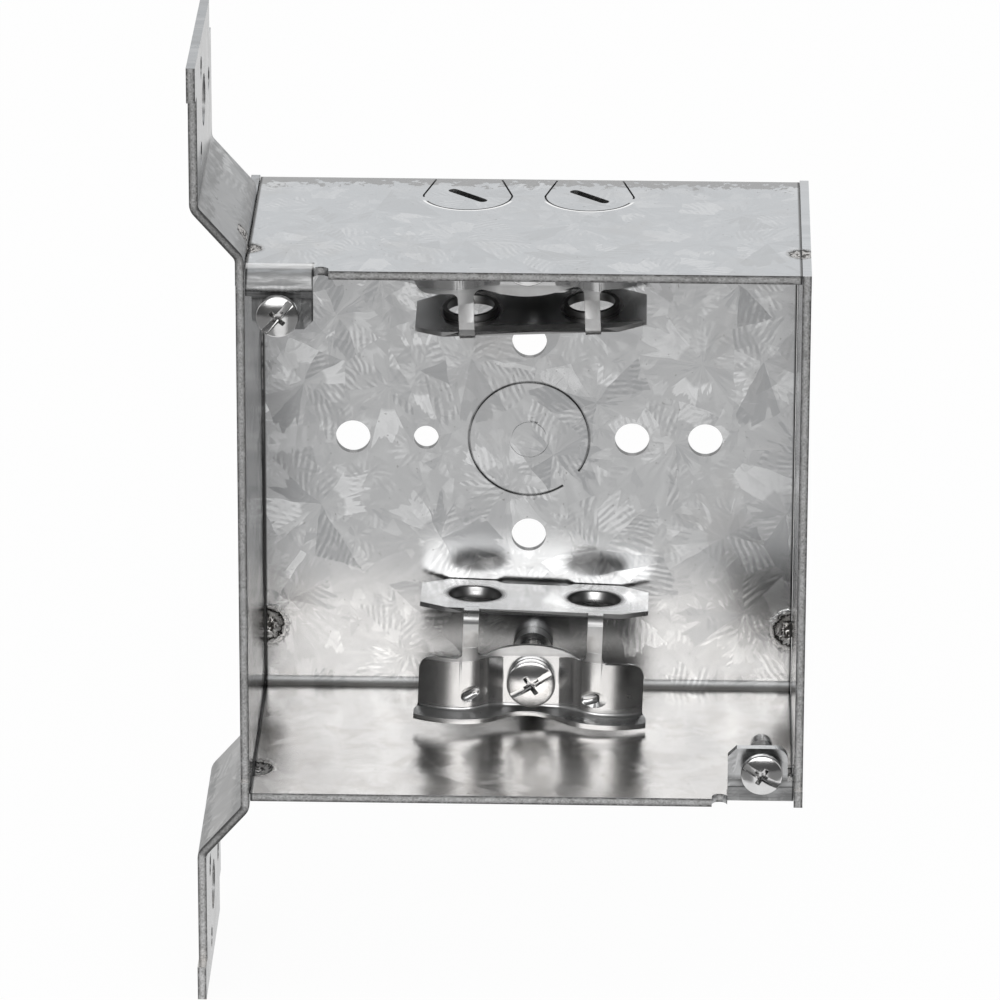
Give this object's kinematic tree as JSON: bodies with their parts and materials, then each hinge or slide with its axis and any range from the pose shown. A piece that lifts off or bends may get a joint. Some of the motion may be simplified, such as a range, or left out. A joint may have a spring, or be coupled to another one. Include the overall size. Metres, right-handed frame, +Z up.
{
  "type": "square electrical box",
  "caption": "Square welded steel wiring box with an offset stud bracket on one side, armoured-cable clamps inside and screw tabs for a cover.",
  "frame": {"origin": "middle of the front opening, in the plane of the rim that a cover seats on", "axes": "+X to the right seen from the front, away from the bracket; +Y into the box; +Z up along the bracket"},
  "size_m": [0.1094, 0.058, 0.1778],
  "materials": {
    "galvanised_sheet": "hot-dip galvanised sheet with soft spangle",
    "zinc_clamp": "bright zinc-plated stamping",
    "zinc_screw": "bright zinc-plated screw"
  },
  "bodies": {
    "box": {"body": "galvanised_sheet", "side_plate": "galvanised_sheet", "bracket": "galvanised_sheet"},
    "upper_clamp": {"clamp_upper": "zinc_clamp"},
    "lower_clamp": {"clamp_lower": "zinc_clamp"},
    "upper_clamp_screw": {"clamp_screw_upper": "zinc_screw"},
    "lower_clamp_screw": {"clamp_screw_lower": "zinc_screw"},
    "upper_cover_screw": {"cover_screw_upper": "zinc_screw"},
    "lower_cover_screw": {"cover_screw_lower": "zinc_screw"}
  },
  "joints": [
    {"name": "upper_clamp_travel", "type": "slide", "parent": "box", "child": "upper_clamp", "axis": [0, -1, 0], "range_m": [0, 0.003]},
    {"name": "lower_clamp_travel", "type": "slide", "parent": "box", "child": "lower_clamp", "axis": [0, -1, 0], "range_m": [0, 0.003]},
    {"name": "upper_clamp_screw_turn", "type": "hinge", "parent": "upper_clamp", "child": "upper_clamp_screw", "pos_m": [0, 0.0349, 0.0411], "axis": [0, -1, 0], "range_deg": [-10, 1370]},
    {"name": "lower_clamp_screw_turn", "type": "hinge", "parent": "lower_clamp", "child": "lower_clamp_screw", "pos_m": [0.0009, 0.0349, -0.0411], "axis": [0, -1, 0], "range_deg": [-10, 1370]},
    {"name": "upper_cover_screw_travel", "type": "slide", "parent": "box", "child": "upper_cover_screw", "axis": [0, -1, 0], "range_m": [-0.0018, 0.0085]},
    {"name": "lower_cover_screw_travel", "type": "slide", "parent": "box", "child": "lower_cover_screw", "axis": [0, -1, 0], "range_m": [-0.0018, 0.0085]}
  ],
  "couplings": [
    {"joint": "upper_clamp_screw_turn", "follows": "upper_clamp_travel", "rad_per_m": 7915.8},
    {"joint": "lower_clamp_screw_turn", "follows": "lower_clamp_travel", "rad_per_m": 7915.8}
  ]
}
